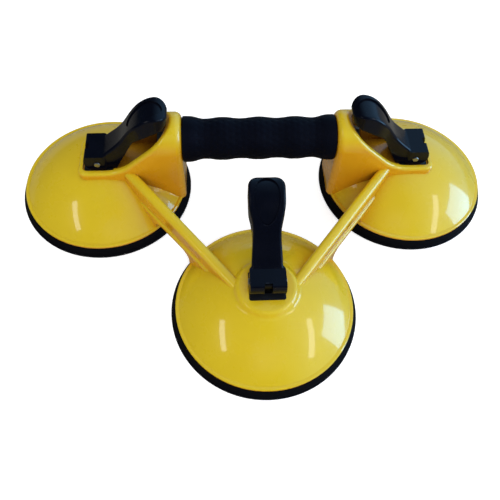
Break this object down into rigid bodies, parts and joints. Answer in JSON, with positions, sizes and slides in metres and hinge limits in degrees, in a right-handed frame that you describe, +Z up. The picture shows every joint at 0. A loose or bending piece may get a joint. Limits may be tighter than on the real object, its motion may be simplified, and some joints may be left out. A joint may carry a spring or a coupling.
{
  "type": "floor tile suction lifter",
  "caption": "Hand suction lifter for floor tiles and glass: domed die-cast frame, rubber suction pads, cam levers and a grooved hand grip.",
  "frame": {"origin": "centre of the whole lifter's outline, on the plane that the rubber pads stand on", "axes": "+X along the handle towards the right cup, +Y from the front cup towards the handle, +Z up"},
  "size_m": [0.3356, 0.2214, 0.0798],
  "materials": {
    "yellow_paint": "glossy yellow enamel on die-cast aluminium",
    "grip_rubber": "black satin rubber sleeve with finger grooves",
    "pad_rubber": "black matt moulded rubber",
    "lever_plastic": "black glossy moulded plastic",
    "zinc_steel": "zinc-plated steel",
    "black_steel": "blackened steel",
    "slide_plastic": "black low-friction plastic",
    "bush_brass": "turned brass",
    "bare_aluminium": "drawn bar"
  },
  "bodies": {
    "frame": {"frame_casting": "yellow_paint", "hand_grip": "grip_rubber", "handle_core": "bare_aluminium", "handle_bolts": "zinc_steel", "handle_washers": "zinc_steel", "suction_pad_left": "pad_rubber", "suction_pad_right": "pad_rubber", "suction_pad_front": "pad_rubber", "guide_bush_left": "bush_brass", "guide_bush_right": "bush_brass", "guide_bush_front": "bush_brass", "wear_plate_left": "slide_plastic", "wear_plate_right": "slide_plastic", "wear_plate_front": "slide_plastic"},
    "stem_left": {"pull_stem_left": "black_steel", "insert_plate_left": "zinc_steel", "lock_nut_left": "zinc_steel", "pivot_pin_left": "zinc_steel"},
    "stem_right": {"pull_stem_right": "black_steel", "insert_plate_right": "zinc_steel", "lock_nut_right": "zinc_steel", "pivot_pin_right": "zinc_steel"},
    "stem_front": {"pull_stem_front": "black_steel", "insert_plate_front": "zinc_steel", "lock_nut_front": "zinc_steel", "pivot_pin_front": "zinc_steel"},
    "lever_left": {"lever_left": "lever_plastic"},
    "lever_right": {"lever_right": "lever_plastic"},
    "lever_front": {"lever_front": "lever_plastic"}
  },
  "joints": [
    {"name": "stem_lift_left", "type": "slide", "parent": "frame", "child": "stem_left", "axis": [0, 0, 1], "range_m": [0, 0.0033], "deforming": ["suction_pad_left"]},
    {"name": "stem_lift_right", "type": "slide", "parent": "frame", "child": "stem_right", "axis": [0, 0, 1], "range_m": [0, 0.0033], "deforming": ["suction_pad_right"]},
    {"name": "stem_lift_front", "type": "slide", "parent": "frame", "child": "stem_front", "axis": [0, 0, 1], "range_m": [0, 0.0033], "deforming": ["suction_pad_front"]},
    {"name": "lever_swing_left", "type": "hinge", "parent": "stem_left", "child": "lever_left", "pos_m": [-0.1078, 0.05075, 0.0398], "axis": [0, -1, 0], "range_deg": [0, 108]},
    {"name": "lever_swing_right", "type": "hinge", "parent": "stem_right", "child": "lever_right", "pos_m": [0.1078, 0.05075, 0.0398], "axis": [0, 1, 0], "range_deg": [0, 108]},
    {"name": "lever_swing_front", "type": "hinge", "parent": "stem_front", "child": "lever_front", "pos_m": [0, -0.05075, 0.0398], "axis": [1, 0, 0], "range_deg": [0, 108]}
  ],
  "couplings": [
    {"joint": "lever_swing_left", "follows": "stem_lift_left", "rad_per_m": 555.56},
    {"joint": "lever_swing_right", "follows": "stem_lift_right", "rad_per_m": 555.56},
    {"joint": "lever_swing_front", "follows": "stem_lift_front", "rad_per_m": 555.56}
  ]
}
